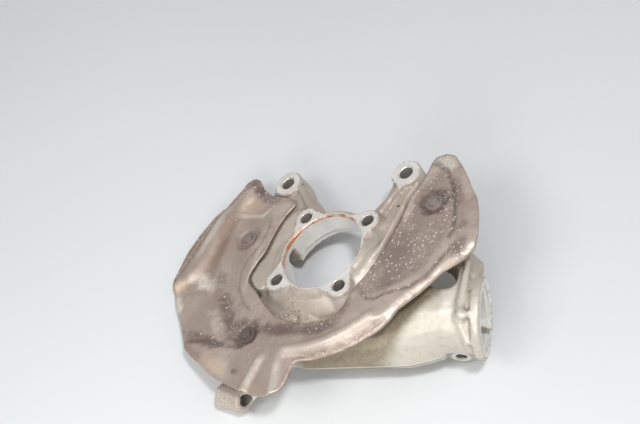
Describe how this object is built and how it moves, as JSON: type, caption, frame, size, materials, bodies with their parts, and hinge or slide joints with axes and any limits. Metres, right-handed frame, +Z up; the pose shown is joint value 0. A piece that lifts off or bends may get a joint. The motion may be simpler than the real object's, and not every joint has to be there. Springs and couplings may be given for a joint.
{
  "type": "steering knuckle with brake dust shield",
  "caption": "Aluminium front steering knuckle lying flat, with an empty hub bore, caliper ears, a split strut clamp, a tie rod boss and a pressed brake dust shield.",
  "frame": {"origin": "centre of the hub bore at its outboard face", "axes": "+Z is up from the surface the part lies on; +X towards the strut clamp; +Y towards the two caliper ears. The hub axis lies in the XZ plane, 19.27 degrees off +Z."},
  "size_m": [0.3591, 0.2966, 0.1221],
  "materials": {
    "casting": "cast, machined at the bores and faces",
    "pressed_sheet": "coated pressed steel, dusty, with rust at its left edge",
    "screws": "dull, dirty"
  },
  "bodies": {
    "root": {"knuckle": "casting", "dust_shield": "pressed_sheet", "shield_screws": "screws"}
  },
  "joints": []
}
